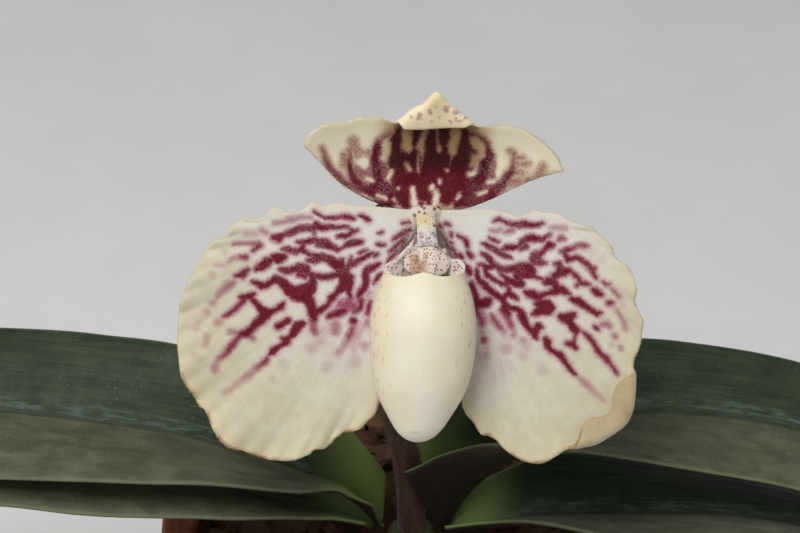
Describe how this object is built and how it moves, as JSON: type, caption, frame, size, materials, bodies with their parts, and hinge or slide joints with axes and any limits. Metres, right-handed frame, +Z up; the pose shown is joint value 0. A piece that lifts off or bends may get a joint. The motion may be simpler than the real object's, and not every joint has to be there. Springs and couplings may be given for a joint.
{
  "type": "potted paphiopedilum orchid",
  "caption": "Slipper orchid in flower: a fan of channelled leaves and one spotted, pouched bloom, in a terracotta pot of bark mix.",
  "frame": {"origin": "centre of the pot's flat bottom", "axes": "+Z up through the pot, +X to the right as the flower is seen, and the flower looks along -Y and up"},
  "size_m": [0.2494, 0.088, 0.1651],
  "materials": {
    "terracotta": "matte",
    "bark": "matte",
    "crown": "matte",
    "leaf": "satin",
    "stalk": "matte",
    "sepal": "satin",
    "petal": "satin",
    "lip": "satin",
    "column": "satin",
    "anther": "matte"
  },
  "bodies": {
    "root": {"pot": "terracotta", "medium": "bark", "crown": "crown", "leaf_upper_left": "leaf", "leaf_lower_left": "leaf", "leaf_upper_right": "leaf", "leaf_lower_right": "leaf", "scape": "stalk", "floral_bract": "stalk", "ovary": "stalk", "dorsal_sepal": "sepal", "synsepal": "sepal", "petal_left": "petal", "petal_right": "petal", "lip_pouch": "lip", "column": "column", "staminode": "column", "anther_left": "anther", "anther_right": "anther"}
  },
  "joints": []
}
